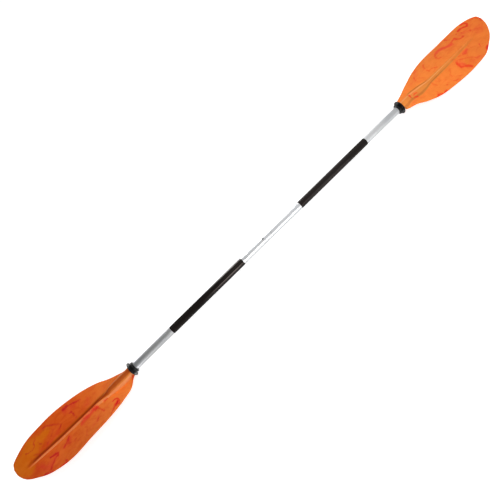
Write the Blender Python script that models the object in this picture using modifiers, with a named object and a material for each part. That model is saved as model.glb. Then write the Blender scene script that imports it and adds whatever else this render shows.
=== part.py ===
"""Double-bladed kayak paddle in two halves: alloy shaft, moulded blades, push-button joint.

Metres, +Z up. The shaft's axis runs along X, AXIS_HEIGHT above the origin, and the rims of the
drip rings touch Z = 0. The right blade, at +X, shows its back. The left half is turned by 180
degrees about the shaft, so its blade, the same moulding, shows its power face.
"""

import math

import bmesh
import bpy
import numpy as np
from mathutils import Matrix, Vector

# Shaft and its joint
CLEARANCE = 0.0003
SHAFT_DIAMETER = 0.027
SHAFT_WALL = 0.0012
JOINT_X = -0.0025
FERRULE_WALL = 0.0015
FERRULE_IN_LEFT = 0.0925
FERRULE_IN_RIGHT = 0.0775

# Snap button, spring and rivet
BUTTON_DIAMETER = 0.0078
BUTTON_FROM_JOINT = 0.0355
BUTTON_RISE = 0.0021
BUTTON_ROUNDING = 0.0011
BUTTON_FLANGE = 0.0013
BUTTON_FLANGE_THICKNESS = 0.0012
SPRING_THICKNESS = 0.0007
SPRING_WIDTH = 0.007
SPRING_REACH = 0.034
SPRING_SEAT = 0.006
SPRING_BEND_RADIUS = 0.003
RIVET_FROM_JOINT = 0.0425
RIVET_SHANK = 0.004
RIVET_HEAD = 0.007
RIVET_HEAD_THICKNESS = 0.0012
RIVET_TAIL = 0.0055
RIVET_TAIL_LENGTH = 0.0025

# Plugs that keep water out
PLUG_LENGTH = 0.015
PLUG_CHAMFER = 0.001
PLUG_FROM_FERRULE = 0.018
FERRULE_PLUG_HEAD = 0.0017
FERRULE_PLUG_STEM = 0.009

# Grip sleeves and drip rings
GRIP_START = 0.1414
GRIP_LENGTH = 0.3375
GRIP_WALL = 0.0006
RING_LENGTH = 0.0217
RING_WALL = 0.0022
FLANGE_HEIGHT = 0.0104
FLANGE_THICKNESS = 0.0022
FLANGE_LEAN = 0.003
FLANGE_FROM_END = 0.0014
LIP_HEIGHT = 0.004
LIP_THICKNESS = 0.0018
LIP_FROM_END = 0.0045
RUBBER_ROUNDING = 0.0006

# Blades
SOCKET_MOUTH = 0.669
SOCKET_DEPTH = 0.06
SOCKET_WALL = 0.0027
BACK_WALL = 0.0019
NECK_LONG_EDGE = 0.001
NECK_SHORT_EDGE = 0.0075
BLADE_LENGTH = 0.493
BLADE_WIDTH = 0.184
BLADE_THICKNESS = 0.0045
LONG_EDGE_THICKNESS = 0.0023
SHORT_EDGE_THICKNESS = 0.0028
BLADE_EDGE_ROUNDING = 0.0012
CROWN_RISE = 0.0012
CROWN_END = 0.040
CROWN_STEP = 0.003
CHANNEL_MOST = 0.8
RIB_MOST = 0.88
BLADE_ROWS = 36

# Outline from the neck to the tip: share of the blade's length, share of its half width.
# The tip is cut back towards the second edge.
LONG_EDGE = [(0.057, 0.29), (0.108, 0.39), (0.179, 0.53), (0.27, 0.733), (0.412, 0.915)]
LONG_EDGE += [(0.574, 0.99), (0.727, 0.99), (0.848, 0.95), (0.982, 0.675)]
TIP = (1.0, 0.38)
SHORT_EDGE = [(0.057, -0.478), (0.108, -0.617), (0.179, -0.764), (0.27, -0.884), (0.412, -0.96)]
SHORT_EDGE += [(0.574, -1.014), (0.727, -0.915), (0.848, -0.615), (0.919, -0.355), (0.974, 0.02)]

# Form of the blade: share of its length, height of the middle as a share of the neck's, and
# how far a wing's edge curls down and tilts at the full half width
FORM = [
    (0.000, 1.00, -0.116, 0.016),
    (0.057, 1.00, -0.012, 0.006),
    (0.138, 1.00, -0.014, 0.011),
    (0.259, 0.58, -0.0165, 0.0095),
    (0.422, 0.40, -0.018, 0.008),
    (0.625, 0.20, -0.017, 0.003),
    (0.828, -0.48, -0.0165, 0.015),
    (1.000, -1.00, -0.010, 0.022),
]
# Rib on the power face, a continuation of the socket: distance from the mouth, half width
# and height as shares of the socket's, and how pointed its top is
RIB = [
    (0.000, 1.00, 1.00, 0.50),
    (0.038, 1.00, 1.00, 0.50),
    (0.068, 1.02, 1.00, 0.50),
    (0.108, 0.67, 0.56, 0.65),
    (0.148, 0.42, 0.26, 0.95),
    (0.183, 0.29, 0.21, 1.10),
    (0.258, 0.25, 0.18, 1.15),
    (0.358, 0.25, 0.14, 1.20),
    (0.453, 0.25, 0.00, 1.20),
]
# Shallow channel down the back: distance from the mouth, half width, depth
CHANNEL = [
    (0.000, 0.0165, 0.0008),
    (0.108, 0.0165, 0.0010),
    (0.158, 0.0120, 0.0022),
    (0.235, 0.0090, 0.0024),
    (0.291, 0.0070, 0.0016),
    (0.331, 0.0055, 0.0008),
    (0.383, 0.0050, 0.0000),
]

# Facets round a turned piece, and round a drip ring, whose rim bears on the ground
SIDES = 32
RING_SIDES = 64

# Sizes that follow
SHAFT_R = SHAFT_DIAMETER / 2
TUBE_BORE_R = SHAFT_R - SHAFT_WALL
FERRULE_R = TUBE_BORE_R - CLEARANCE
FERRULE_BORE_R = FERRULE_R - FERRULE_WALL
OUTER_BORE_R = SHAFT_R + CLEARANCE
HUB_R = OUTER_BORE_R + RING_WALL
AXIS_HEIGHT = (HUB_R + FLANGE_HEIGHT) * math.cos(math.pi / RING_SIDES)
TUBE_END_X = SOCKET_MOUTH + SOCKET_DEPTH
FERRULE_START_X = JOINT_X - FERRULE_IN_LEFT
FERRULE_END_X = JOINT_X + FERRULE_IN_RIGHT
BUTTON_X = JOINT_X - BUTTON_FROM_JOINT
BUTTON_R = BUTTON_DIAMETER / 2
BUTTON_FLANGE_R = BUTTON_R + BUTTON_FLANGE
NECK_RISE = OUTER_BORE_R + BACK_WALL - BLADE_THICKNESS / 2
SOCKET_BOTTOM = OUTER_BORE_R + SOCKET_WALL
SOCKET_HALF_WIDTH = SOCKET_BOTTOM + 0.6 * SOCKET_WALL


def srgb(red, green, blue):
    """Linear colour of an sRGB one given from 0 to 255."""
    return [((c / 255 + 0.055) / 1.055) ** 2.4 if c > 10 else c / 3295 for c in (red, green, blue)]


def material(name, colour, roughness, metallic=0.0):
    """Principled material in one colour."""
    mat = bpy.data.materials.new(name)
    mat.use_nodes = True
    shader = mat.node_tree.nodes["Principled BSDF"]
    shader.inputs["Base Color"].default_value = (*srgb(*colour), 1)
    shader.inputs["Roughness"].default_value = roughness
    shader.inputs["Metallic"].default_value = metallic
    mat.diffuse_color = (*srgb(*colour), 1)
    return mat


def new_object(name, mesh, parent=None, mat=None, group="boat_paddle"):
    """Object of a mesh in one of the two collections, under its parent."""
    obj = bpy.data.objects.new(name, mesh)
    bpy.data.collections[group].objects.link(obj)
    obj.parent = parent
    if mat and not obj.data.materials:
        obj.data.materials.append(mat)
    return obj


def finish(mesh):
    """Smooth shading with the real edges left sharp."""
    mesh.shade_smooth()
    mesh.set_sharp_from_angle(angle=math.radians(35))
    return mesh


def turned_mesh(name, profile, sides=SIDES):
    """Wire of a turned shape: (radius, height) points from the top down the outer side."""
    bm = bmesh.new()
    turn = Matrix.Rotation(math.pi / sides, 3, "Z")
    verts = [bm.verts.new(turn @ Vector((radius, 0, height))) for radius, height in profile]
    for start, end in zip(verts, verts[1:]):
        bm.edges.new((start, end))
    if profile[0][0] > 0:
        bm.edges.new((verts[-1], verts[0]))
    mesh = bpy.data.meshes.new(name)
    bm.to_mesh(mesh)
    bm.free()
    return mesh


def turned(name, profile, parent=None, mat=None, x=0.0, z=0.0, direction="X", sides=SIDES):
    """Turned piece whose local +Z points along X, -X, Z or -Z. Without a material it is a cutter."""
    group = "boat_paddle" if mat else "cutters"
    mesh = profile if isinstance(profile, bpy.types.Mesh) else turned_mesh(name, profile)
    obj = new_object(name, mesh, parent, mat, group)
    obj.location = (x, 0, z)
    obj.rotation_euler.y = {"X": math.pi / 2, "-X": -math.pi / 2, "Z": 0, "-Z": math.pi}[direction]
    screw = obj.modifiers.new("turn", "SCREW")
    screw.steps = sides
    screw.render_steps = sides
    screw.use_merge_vertices = True
    screw.merge_threshold = 0.00001
    return obj


def rod(radius, length, chamfer=0.0):
    """Profile of a solid rod from 0 up to its length."""
    if not chamfer:
        return [(0, length), (radius, length), (radius, 0), (0, 0)]
    inner = radius - chamfer
    return [(0, length), (inner, length), (radius, length - chamfer), (radius, chamfer), (inner, 0), (0, 0)]


def pipe(radius, bore, length, chamfer=0.0):
    """Profile of a pipe from 0 up to its length."""
    if not chamfer:
        return [(radius, length), (radius, 0), (bore, 0), (bore, length)]
    inner = radius - chamfer
    outer_side = [(inner, length), (radius, length - chamfer), (radius, chamfer), (inner, 0)]
    return outer_side + [(bore, 0), (bore, length)]


def cut(target, cutter):
    """Exact Boolean difference."""
    boolean = target.modifiers.new(cutter.name, "BOOLEAN")
    boolean.operation = "DIFFERENCE"
    boolean.solver = "EXACT"
    boolean.object = cutter


def as_cutter(obj):
    """Mark an object as a cutter, which doesn't render."""
    obj.hide_render = True
    obj.display_type = "WIRE"
    return obj


def smooth_curve(points, steps=8):
    """Smooth curve through points, as an array with steps points between each two."""
    points = np.array(points, float)
    chords = np.linalg.norm(np.diff(points, axis=0), axis=1)
    t = np.concatenate([[0], np.cumsum(np.sqrt(chords))])
    slopes = np.gradient(points, t, axis=0)
    curve = []
    for k, span in enumerate(np.diff(t)):
        for s in np.arange(steps) / steps:
            ease = 2 * s**3 - 3 * s**2 + 1
            leave = (s**3 - 2 * s**2 + s) * span * slopes[k]
            arrive = (s**3 - s**2) * span * slopes[k + 1]
            curve.append(ease * points[k] + leave + (1 - ease) * points[k + 1] + arrive)
    curve.append(points[-1])
    return np.array(curve)


def reading(table):
    """Function that reads a table's columns smoothly at a value of its first column."""
    table = np.array(table)
    stations = [smooth_curve(table[:, [0, k]]) for k in range(1, table.shape[1])]
    return lambda x: [np.interp(x, c[:, 0], c[:, 1]) for c in stations]


def blade_mesh():
    """One blade, its socket's mouth at the origin and its tip towards +X, its back up."""
    half_width = BLADE_WIDTH / 2
    neck_long = (SOCKET_HALF_WIDTH + NECK_LONG_EDGE) / half_width
    neck_short = (SOCKET_HALF_WIDTH + NECK_SHORT_EDGE) / half_width
    long_edge = smooth_curve([(0, neck_long), *LONG_EDGE, TIP])
    short_edge = smooth_curve([(0, -neck_short), *SHORT_EDGE, TIP])
    form = reading(FORM)
    rib = reading(RIB)
    channel = reading(CHANNEL)
    socket_height = NECK_RISE - BLADE_THICKNESS / 2 + SOCKET_BOTTOM

    def middle(x, y):
        centre, curl, tilt = form(x / BLADE_LENGTH)
        out = y / half_width
        return NECK_RISE * centre + curl * out**2 + tilt * out

    def columns(low, high, inner):
        """Places across the blade, and how far out each is: 1 at the long edge, -1 at the short."""
        inset_low, inset_high = low + BLADE_EDGE_ROUNDING, high - BLADE_EDGE_ROUNDING
        centre = min(max(0.0, inset_low + inner), inset_high - inner)
        steps = (0.0, 0.4, 0.75, 1.0)
        outer = (0.33, 0.7, 1.0)
        right = [(centre + inner * s, 0.0) for s in steps]
        right += [(right[-1][0] * (1 - s) + inset_high * s, s) for s in outer] + [(high, 1.0)]
        left = [(centre - inner * s, 0.0) for s in steps[1:]]
        left += [(left[-1][0] * (1 - s) + inset_low * s, -s) for s in outer] + [(low, -1.0)]
        return left[::-1] + right

    def wall(out):
        """Thickness of a wing, which thins towards its edge."""
        edge = LONG_EDGE_THICKNESS if out > 0 else SHORT_EDGE_THICKNESS
        return BLADE_THICKNESS + (edge - BLADE_THICKNESS) * abs(out)

    def section(x):
        share = x / BLADE_LENGTH
        high = np.interp(share, long_edge[:, 0], long_edge[:, 1]) * half_width
        low = np.interp(share, short_edge[:, 0], short_edge[:, 1]) * half_width
        widest = (high - low) / 2 - 2 * BLADE_EDGE_ROUNDING
        channel_width, depth = channel(x)
        if x <= CROWN_END:
            depth = -CROWN_RISE
        rib_width, rib_height, point = rib(x)
        back, power = [], []
        inner = min(channel_width, CHANNEL_MOST * widest)
        for y, out in columns(low, high, inner):
            hollow = depth * max(0.0, 1 - (y / channel_width) ** 2) ** 1.5
            back.append((x, y, middle(x, y) + wall(out) / 2 - hollow))
        inner = min(rib_width * SOCKET_HALF_WIDTH, RIB_MOST * widest)
        for y, out in columns(low, high, inner):
            proud = socket_height * rib_height * max(0.0, 1 - (y / inner) ** 2) ** point
            power.append((x, y, middle(x, y) - wall(out) / 2 - proud))
        return back, power

    turn = np.linspace(0, math.pi, BLADE_ROWS + 1)
    rows = (1 - np.cos(turn)) / 2 * BLADE_LENGTH
    rows = sorted([*rows[:-1], 0.9995 * BLADE_LENGTH, CROWN_END, CROWN_END + CROWN_STEP])
    bm = bmesh.new()
    grid = []
    for x in rows:
        back, power = section(x)
        upper = [bm.verts.new(p) for p in back]
        lower = [bm.verts.new(p) for p in power]
        for side in (0, -1):
            upper[side].co = (upper[side].co + lower[side].co) / 2
            bm.verts.remove(lower[side])
            lower[side] = upper[side]
        if x == rows[-1]:
            for k, vert in enumerate(upper[1:-1], 1):
                vert.co = (vert.co + lower[k].co) / 2
                bm.verts.remove(lower[k])
                lower[k] = vert
        grid.append((upper, lower))
    for (upper, lower), (next_upper, next_lower) in zip(grid, grid[1:]):
        for k in range(len(upper) - 1):
            bm.faces.new((upper[k], next_upper[k], next_upper[k + 1], upper[k + 1]))
            bm.faces.new((lower[k], lower[k + 1], next_lower[k + 1], next_lower[k]))
    upper, lower = grid[0]
    for k in range(len(upper) - 1):
        corners = dict.fromkeys((upper[k], upper[k + 1], lower[k + 1], lower[k]))
        bm.faces.new(list(corners))
    bmesh.ops.recalc_face_normals(bm, faces=bm.faces)
    mesh = bpy.data.meshes.new("blade")
    bm.to_mesh(mesh)
    bm.free()
    return finish(mesh)


def ring_profile():
    """Drip ring, its blade end at 0: hub, wide leaning flange, groove and small lip."""
    flange_r = HUB_R + FLANGE_HEIGHT
    lip_r = HUB_R + LIP_HEIGHT
    soft = RUBBER_ROUNDING
    flange_root = -FLANGE_FROM_END
    flange_rim = flange_root - FLANGE_LEAN
    lip_rim = -RING_LENGTH + LIP_FROM_END
    return [
        (OUTER_BORE_R, 0),
        (HUB_R - soft, 0),
        (HUB_R, -soft),
        (HUB_R + soft, flange_root - soft / 2),
        (flange_r - soft, flange_rim),
        (flange_r, flange_rim - soft),
        (flange_r, flange_rim - FLANGE_THICKNESS + soft),
        (flange_r - soft, flange_rim - FLANGE_THICKNESS),
        (HUB_R + 2 * soft, flange_root - FLANGE_THICKNESS - soft),
        (HUB_R, flange_root - FLANGE_THICKNESS - 3 * soft),
        (HUB_R, lip_rim + LIP_THICKNESS + 2 * soft),
        (lip_r - soft, lip_rim + LIP_THICKNESS),
        (lip_r, lip_rim + LIP_THICKNESS - soft),
        (lip_r, lip_rim + soft),
        (lip_r - soft, lip_rim),
        (HUB_R, lip_rim - soft),
        (HUB_R, -RING_LENGTH + soft),
        (HUB_R - soft, -RING_LENGTH),
        (OUTER_BORE_R, -RING_LENGTH),
    ]


def button_profile(seat):
    """Snap button: flat top with a rounded rim, above the flange that holds it inside."""
    top = SHAFT_R + BUTTON_RISE
    arc = [math.radians(a) for a in (90, 60, 30, 0)]
    rim = [
        (BUTTON_R + BUTTON_ROUNDING * (math.cos(a) - 1), top + BUTTON_ROUNDING * (math.sin(a) - 1))
        for a in arc
    ]
    flange_top = seat + BUTTON_FLANGE_THICKNESS
    flange = [(BUTTON_R, flange_top), (BUTTON_FLANGE_R, flange_top), (BUTTON_FLANGE_R, seat), (0, seat)]
    return [(0, top)] + rim + flange


def rivet_profile():
    """Rivet along its own axis, zero on the shaft's: formed tail, shank and domed head."""
    tail_end = math.sqrt(FERRULE_BORE_R**2 - (RIVET_TAIL / 2) ** 2) - CLEARANCE
    head = SHAFT_R + CLEARANCE
    dome = 0.6 * RIVET_HEAD / 2
    return [
        (0, head + RIVET_HEAD_THICKNESS),
        (dome, head + 0.8 * RIVET_HEAD_THICKNESS),
        (RIVET_HEAD / 2, head + 0.3 * RIVET_HEAD_THICKNESS),
        (RIVET_HEAD / 2, head),
        (RIVET_SHANK / 2, head),
        (RIVET_SHANK / 2, tail_end),
        (RIVET_TAIL / 2, tail_end - 0.2 * RIVET_TAIL_LENGTH),
        (0.7 * RIVET_TAIL / 2, tail_end - RIVET_TAIL_LENGTH),
        (0, tail_end - RIVET_TAIL_LENGTH),
    ]


def spring_curve(name, top, bottom):
    """V leaf, its mouth towards -X: outline at half a thickness each side of its middle line."""
    bend_x = SPRING_REACH - SPRING_BEND_RADIUS
    turn = np.radians(np.linspace(90, -90, 9))
    line = [(-SPRING_SEAT, top), (SPRING_SEAT, top)]
    line += [(bend_x + SPRING_BEND_RADIUS * math.cos(a), SPRING_BEND_RADIUS * math.sin(a)) for a in turn]
    line += [(SPRING_SEAT, bottom), (-SPRING_SEAT, bottom)]
    line = np.array(line)
    along = np.gradient(line, axis=0)
    along /= np.linalg.norm(along, axis=1)[:, None]
    across = np.stack([-along[:, 1], along[:, 0]], 1) * SPRING_THICKNESS / 2
    outline = np.concatenate([line + across, (line - across)[::-1]])
    curve = bpy.data.curves.new(name, "CURVE")
    curve.dimensions = "2D"
    curve.fill_mode = "BOTH"
    curve.extrude = SPRING_WIDTH / 2
    spline = curve.splines.new("POLY")
    spline.points.add(len(outline) - 1)
    for point, (x, y) in zip(spline.points, outline):
        point.co = (x, y, 0, 1)
    spline.use_cyclic_u = True
    return curve


def add_empty(name, x, height):
    """Empty on a joint's axis."""
    empty = bpy.data.objects.new(name, None)
    bpy.data.collections["boat_paddle"].objects.link(empty)
    empty.empty_display_size = 0.03
    empty.location = (x, 0, height)
    return empty


def build():
    for obj in list(bpy.data.objects):
        bpy.data.objects.remove(obj)
    for name in ("boat_paddle", "cutters"):
        bpy.context.scene.collection.children.link(bpy.data.collections.new(name))

    orange = material("marbled_orange_plastic", (228, 104, 46), 0.38)
    alloy = material("anodised_alloy", (205, 207, 210), 0.3, 1.0)
    steel = material("stainless_steel", (190, 190, 192), 0.28, 1.0)
    sleeve_black = material("black_sleeve", (22, 22, 23), 0.5)
    rubber = material("black_rubber", (28, 28, 29), 0.6)
    foam = material("grey_foam", (92, 94, 98), 0.9)
    cap = material("black_nylon", (34, 34, 36), 0.5)

    right_half = add_empty("right_half", 0, AXIS_HEIGHT)
    left_half = add_empty("left_half", 0, AXIS_HEIGHT)
    halves = {"left": (left_half, -1, "-X"), "right": (right_half, 1, "X")}

    # Both blades are one moulding, with its bore cut by one cutter each
    blade = blade_mesh()
    bore = rod(OUTER_BORE_R, SOCKET_DEPTH + 2 * CLEARANCE)
    for side, (half, sign, outward) in halves.items():
        moulding = new_object(f"{side}_blade", blade, half, orange)
        moulding.location.x = sign * SOCKET_MOUTH
        moulding.rotation_euler.y = 0 if sign > 0 else math.pi
        start = sign * (SOCKET_MOUTH - CLEARANCE)
        cut(moulding, as_cutter(turned(f"{side}_bore", bore, half, None, start, 0, outward)))

    # Shaft tubes, from the joint to the bottoms of the blades' sockets
    for side, (half, sign, outward) in halves.items():
        start = JOINT_X + sign * CLEARANCE / 2
        length = abs(sign * TUBE_END_X - start)
        turned(f"{side}_shaft_tube", pipe(SHAFT_R, TUBE_BORE_R, length), half, alloy, start, 0, outward)
    left_tube = bpy.data.objects["left_shaft_tube"]
    right_tube = bpy.data.objects["right_shaft_tube"]

    # Ferrule, fixed in the right tube by its rivet, and the plug in its free end
    length = FERRULE_IN_LEFT + FERRULE_IN_RIGHT
    profile = pipe(FERRULE_R, FERRULE_BORE_R, length, FERRULE_WALL / 3)
    ferrule = turned("ferrule_sleeve", profile, right_half, alloy, FERRULE_START_X)
    stem = FERRULE_BORE_R - CLEARANCE
    profile = [
        (0, FERRULE_PLUG_STEM),
        (stem - PLUG_CHAMFER, FERRULE_PLUG_STEM),
        (stem, FERRULE_PLUG_STEM - PLUG_CHAMFER),
        (stem, 0),
        (FERRULE_R, 0),
        (FERRULE_R, -FERRULE_PLUG_HEAD / 2),
        (FERRULE_R - PLUG_CHAMFER, -FERRULE_PLUG_HEAD),
        (0, -FERRULE_PLUG_HEAD),
    ]
    turned("ferrule_plug", profile, right_half, cap, FERRULE_START_X - CLEARANCE)

    # Holes: four in the left tube for the button, so that the blades can be set a quarter
    # turn apart, one in the ferrule, and the rivet's through both walls
    hole = rod(BUTTON_R + CLEARANCE, 2 * SHAFT_DIAMETER)
    across = as_cutter(turned("button_hole_across", hole, left_half, None, BUTTON_X, 0, "Z"))
    across.rotation_euler = (math.pi / 2, 0, 0)
    across.location.y = SHAFT_DIAMETER
    upright = turned("button_hole_upright", hole, left_half, None, BUTTON_X, -SHAFT_DIAMETER, "Z")
    single = turned("button_hole_top", hole, right_half, None, BUTTON_X, 0, "Z")
    for cutter in (as_cutter(upright), across):
        cut(left_tube, cutter)
    cut(ferrule, as_cutter(single))
    rivet_x = JOINT_X + RIVET_FROM_JOINT
    hole = rod(RIVET_SHANK / 2 + CLEARANCE, SHAFT_DIAMETER)
    drilled = as_cutter(turned("rivet_hole", hole, right_half, None, rivet_x, 0, "-Z"))
    for tube in (right_tube, ferrule):
        cut(tube, drilled)
    turned("ferrule_rivet", rivet_profile(), right_half, steel, rivet_x, 0, "-Z")

    # Snap button on its V spring, inside the ferrule
    flange_top = math.sqrt(FERRULE_BORE_R**2 - BUTTON_FLANGE_R**2) - CLEARANCE
    seat = flange_top - BUTTON_FLANGE_THICKNESS
    button_axis = add_empty("button_axis", BUTTON_X, 0)
    button_axis.parent = right_half
    turned("snap_button", button_profile(seat), button_axis, steel, 0, 0, "Z")
    top = seat - CLEARANCE - SPRING_THICKNESS / 2
    bottom = -math.sqrt(FERRULE_BORE_R**2 - (SPRING_WIDTH / 2) ** 2) + CLEARANCE + SPRING_THICKNESS / 2
    spring = new_object("button_spring", spring_curve("button_spring", top, bottom), button_axis, steel)
    spring.rotation_euler.x = math.pi / 2

    # Plugs, grip sleeves and drip rings, a pair of each
    plug = turned_mesh("plug", rod(FERRULE_R, PLUG_LENGTH, PLUG_CHAMFER))
    sleeve = turned_mesh("sleeve", pipe(OUTER_BORE_R + GRIP_WALL, OUTER_BORE_R, GRIP_LENGTH, GRIP_WALL / 2))
    ring = turned_mesh("ring", ring_profile(), RING_SIDES)
    inner_ends = {"left": -FERRULE_START_X, "right": FERRULE_END_X}
    for side, (half, sign, outward) in halves.items():
        joint_plug = sign * (inner_ends[side] + PLUG_FROM_FERRULE)
        turned(f"{side}_joint_plug", plug, half, foam, joint_plug, 0, outward)
        turned(f"{side}_end_plug", plug, half, foam, sign * (TUBE_END_X - PLUG_LENGTH), 0, outward)
        turned(f"{side}_grip_sleeve", sleeve, half, sleeve_black, sign * GRIP_START, 0, outward)
        ring_x = sign * (SOCKET_MOUTH - CLEARANCE)
        turned(f"{side}_drip_ring", ring, half, rubber, ring_x, 0, outward, RING_SIDES)


build()
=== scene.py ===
# %% [markdown]
# # A take-apart kayak paddle
# The paddle has two halves that plug together in the middle. Each half is an aluminium tube with a
# black grip sleeve, a rubber drip ring and a moulded blade. The drawing of its parts is loaded first,
# as a fixed frame. Each piece is then made finer than the drawing, given its finish, and laid over the
# part that it stands for.

# %% Load the frame
import math

import bmesh
import bpy
import numpy as np
from mathutils import Matrix, Vector, noise


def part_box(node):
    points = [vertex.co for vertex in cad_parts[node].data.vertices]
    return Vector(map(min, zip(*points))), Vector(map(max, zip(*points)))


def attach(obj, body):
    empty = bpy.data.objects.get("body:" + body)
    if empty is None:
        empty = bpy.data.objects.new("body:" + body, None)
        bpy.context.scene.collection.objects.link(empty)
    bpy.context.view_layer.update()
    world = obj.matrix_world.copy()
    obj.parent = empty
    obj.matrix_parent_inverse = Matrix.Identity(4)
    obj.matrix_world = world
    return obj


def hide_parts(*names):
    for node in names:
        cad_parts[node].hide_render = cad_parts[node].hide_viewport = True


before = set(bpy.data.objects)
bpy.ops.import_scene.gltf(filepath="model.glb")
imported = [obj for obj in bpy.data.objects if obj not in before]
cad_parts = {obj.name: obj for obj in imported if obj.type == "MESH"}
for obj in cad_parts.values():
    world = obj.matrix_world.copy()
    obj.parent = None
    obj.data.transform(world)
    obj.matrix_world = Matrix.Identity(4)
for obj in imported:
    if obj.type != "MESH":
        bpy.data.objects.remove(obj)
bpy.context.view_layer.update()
scene = bpy.context.scene
scene.view_settings.view_transform = "Standard"

# %% [markdown]
# ## Sizes that everything shares
# A paddle is measured from its tube. The height of the tube's axis is read from the frame, where the
# paddle rests on its rings. The rest are the maker's sizes, in metres.

# %% The tube, its joint and its button
tube_low, tube_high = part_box("right_shaft_tube")
AXIS_HEIGHT = (tube_low.z + tube_high.z) / 2
SHAFT_R = 0.0135
TUBE_BORE_R = 0.0123
GAP = 0.0003
JOINT_X = -0.0025
SOCKET_MOUTH = 0.669
SOCKET_DEPTH = 0.06
BUTTON_X = -0.038
BUTTON_R = 0.0039
RIVET_X = 0.04
print(f"axis {AXIS_HEIGHT * 1000:.3f} mm up, tube {SHAFT_R * 2000:.1f} mm across")

# %% [markdown]
# ## The camera
# The picture was taken from about a metre and a half away, a little from the side and well from
# above, with the camera rolled so that the shaft runs across the frame's diagonal. The camera's three
# axes are built as vectors, because each of them can be compared with a direction in the picture.

# %% Place the camera
SIDE_ANGLE = math.radians(32)
END_ANGLE = math.radians(5.5)
ROLL_COS = 0.71487
ROLL_SIN = 0.69926
DISTANCE = 1.52
middle = Vector((0, 0, AXIS_HEIGHT))
side_sin, side_cos = math.sin(SIDE_ANGLE), math.cos(SIDE_ANGLE)
end_sin, end_cos = math.sin(END_ANGLE), math.cos(END_ANGLE)
along = Vector((end_cos, -side_sin * end_sin, side_cos * end_sin))
across = Vector((0, side_cos, side_sin))
towards = along.cross(across)
right = ROLL_COS * along - ROLL_SIN * across
up = ROLL_SIN * along + ROLL_COS * across
camera_data = bpy.data.cameras.new("camera")
camera_data.lens = 30.96
camera_data.shift_x = -0.0432
camera_data.shift_y = -0.0343
camera = bpy.data.objects.new("camera", camera_data)
scene.collection.objects.link(camera)
turn = Matrix((right, up, towards)).transposed().to_4x4()
camera.matrix_world = Matrix.Translation(middle + DISTANCE * towards) @ turn
scene.camera = camera
print("camera at", [round(v, 3) for v in camera.location])

# %% [markdown]
# ## Small helpers for node materials
# Every finish is a handful of nodes: a position, a pattern on it, and a shader. These helpers add a
# node, fill its sockets and join it to others, so that each recipe reads as a list.


# %% Helpers for colours and nodes
def srgb(red, green, blue):
    """Linear colour of one given as 0 to 255."""
    parts = [((c / 255 + 0.055) / 1.055) ** 2.4 if c > 10 else c / 3295 for c in (red, green, blue)]
    return (*parts, 1.0)


def fill(tree, node, socket, value):
    """Fills a node's input with a value, or joins an output to it."""
    if isinstance(value, bpy.types.NodeSocket):
        tree.links.new(value, node.inputs[socket])
    else:
        node.inputs[socket].default_value = value


class Recipe:
    """Nodes of a material, or of the world, added one by one and joined as they are added."""

    def __init__(self, name, world=None):
        self.material = world or bpy.data.materials.new(name)
        self.material.use_nodes = True
        self.tree = self.material.node_tree
        self.shader = self.tree.nodes["Background" if world else "Principled BSDF"]
        self.place = self.add("ShaderNodeTexCoord").outputs["Object"]

    def shade(self, socket, value):
        """Fills one of the shader's own sockets."""
        fill(self.tree, self.shader, socket, value)

    def add(self, kind, inputs=None, **settings):
        """Adds a node with its settings and inputs."""
        node = self.tree.nodes.new(kind)
        for name, value in settings.items():
            setattr(node, name, value)
        for socket, value in (inputs or {}).items():
            fill(self.tree, node, socket, value)
        return node

    def noise(self, scale, detail=3.0, stretch=(1, 1, 1), distortion=0.0):
        """Noise on the piece's own coordinates, stretched where wanted."""
        spot = self.add("ShaderNodeMapping", {"Vector": self.place, "Scale": stretch}).outputs[0]
        inputs = {"Vector": spot, "Scale": scale, "Detail": detail, "Distortion": distortion}
        return self.add("ShaderNodeTexNoise", inputs).outputs[0]

    def spread(self, value, low, high, new_low=0.0, new_high=1.0):
        """Spreads the part of a value between low and high over a new range, smoothly."""
        inputs = {0: value, 1: low, 2: high, 3: new_low, 4: new_high}
        return self.add("ShaderNodeMapRange", inputs, interpolation_type="SMOOTHSTEP").outputs[0]

    def sum(self, first, second, operation="ADD"):
        """Adds two values, or does another sum with them."""
        return self.add("ShaderNodeMath", {0: first, 1: second}, operation=operation).outputs[0]

    def attribute(self, name):
        """A value that the mesh holds at each of its points."""
        return self.add("ShaderNodeAttribute", attribute_name=name).outputs["Fac"]

    def blend(self, share, first, second):
        """Mixes two colours."""
        return self.add("ShaderNodeMix", {0: share, 6: first, 7: second}, data_type="RGBA").outputs[2]

    def bump(self, height, strength, distance):
        """Fine relief on the shader's normal."""
        inputs = {"Height": height, "Strength": strength, "Distance": distance}
        self.shade("Normal", self.add("ShaderNodeBump", inputs).outputs[0])


# %% [markdown]
# ## Floor, world and lamps
# The paddle lies on a white sheet. The sheet shows pure white to the camera but is an ordinary matt
# surface for everything else, so it still takes a soft shadow. The main light comes from the side of
# the picture's lower right. Two long low strips draw the thin bright lines on the tubes.

# %% The white floor
FLOOR_HALF_WIDTH = 6.0
FLOOR_GLOW = 0.7


def backdrop_light(recipe, strength):
    """Strength where the camera or a mirror image sees the surface, and none elsewhere."""
    rays = recipe.add("ShaderNodeLightPath").outputs
    seen = recipe.sum(rays["Is Camera Ray"], rays["Is Glossy Ray"], "MAXIMUM")
    seen = recipe.sum(seen, rays["Is Transmission Ray"], "MAXIMUM")
    return recipe.sum(seen, strength, "MULTIPLY")


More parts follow.
